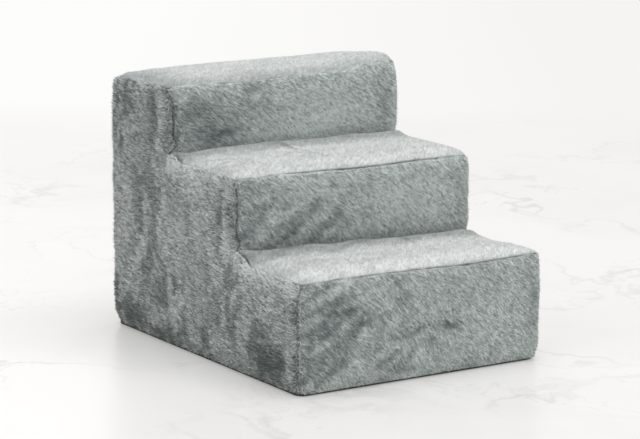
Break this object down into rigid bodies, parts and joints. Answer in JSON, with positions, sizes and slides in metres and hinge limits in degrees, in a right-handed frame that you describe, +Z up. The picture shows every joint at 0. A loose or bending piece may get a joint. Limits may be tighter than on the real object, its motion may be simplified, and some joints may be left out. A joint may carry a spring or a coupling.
{
  "type": "pet stairs",
  "caption": "Foam pet stairs in a sewn plush cover: solid risers and treads, stepped side panels, a non-slip base and a zip across the back.",
  "frame": {"origin": "centre of the bounding box on the floor that the stairs stand on", "axes": "+Z up; the steps rise from the front at -Y to the back at +Y; +X across the steps, to the right of someone facing them"},
  "size_m": [0.4002, 0.4902, 0.367],
  "materials": {
    "foam": "matte",
    "plush_side": "matte",
    "plush_riser": "matte",
    "plush_tread": "matte",
    "base_fabric": "matte",
    "zip_tape": "matte",
    "zip_teeth": "satin",
    "zip_metal": "satin"
  },
  "bodies": {
    "stairs": {"foam_lower_slab": "foam", "foam_middle_slab": "foam", "foam_upper_slab": "foam", "left_side_panel": "plush_side", "right_side_panel": "plush_side", "lower_riser_panel": "plush_riser", "middle_riser_panel": "plush_riser", "upper_riser_panel": "plush_riser", "lower_tread_panel": "plush_tread", "middle_tread_panel": "plush_tread", "top_panel": "plush_tread", "back_panel": "plush_side", "back_lower_strip": "plush_side", "base_panel": "base_fabric", "zip_upper_tape": "zip_tape", "zip_lower_tape": "zip_tape", "zip_upper_teeth": "zip_teeth", "zip_lower_teeth": "zip_teeth", "zip_stops": "zip_metal"},
    "slider": {"zip_slider": "zip_metal"},
    "pull": {"zip_pull": "zip_metal"}
  },
  "joints": [
    {"name": "zip_slide", "type": "slide", "parent": "stairs", "child": "slider", "axis": [1, 0, 0], "range_m": [0, 0.3145]},
    {"name": "pull_swing", "type": "hinge", "parent": "slider", "child": "pull", "pos_m": [-0.15725, 0.23955, 0.052], "axis": [0, 0, 1], "range_deg": [0, 165]}
  ]
}
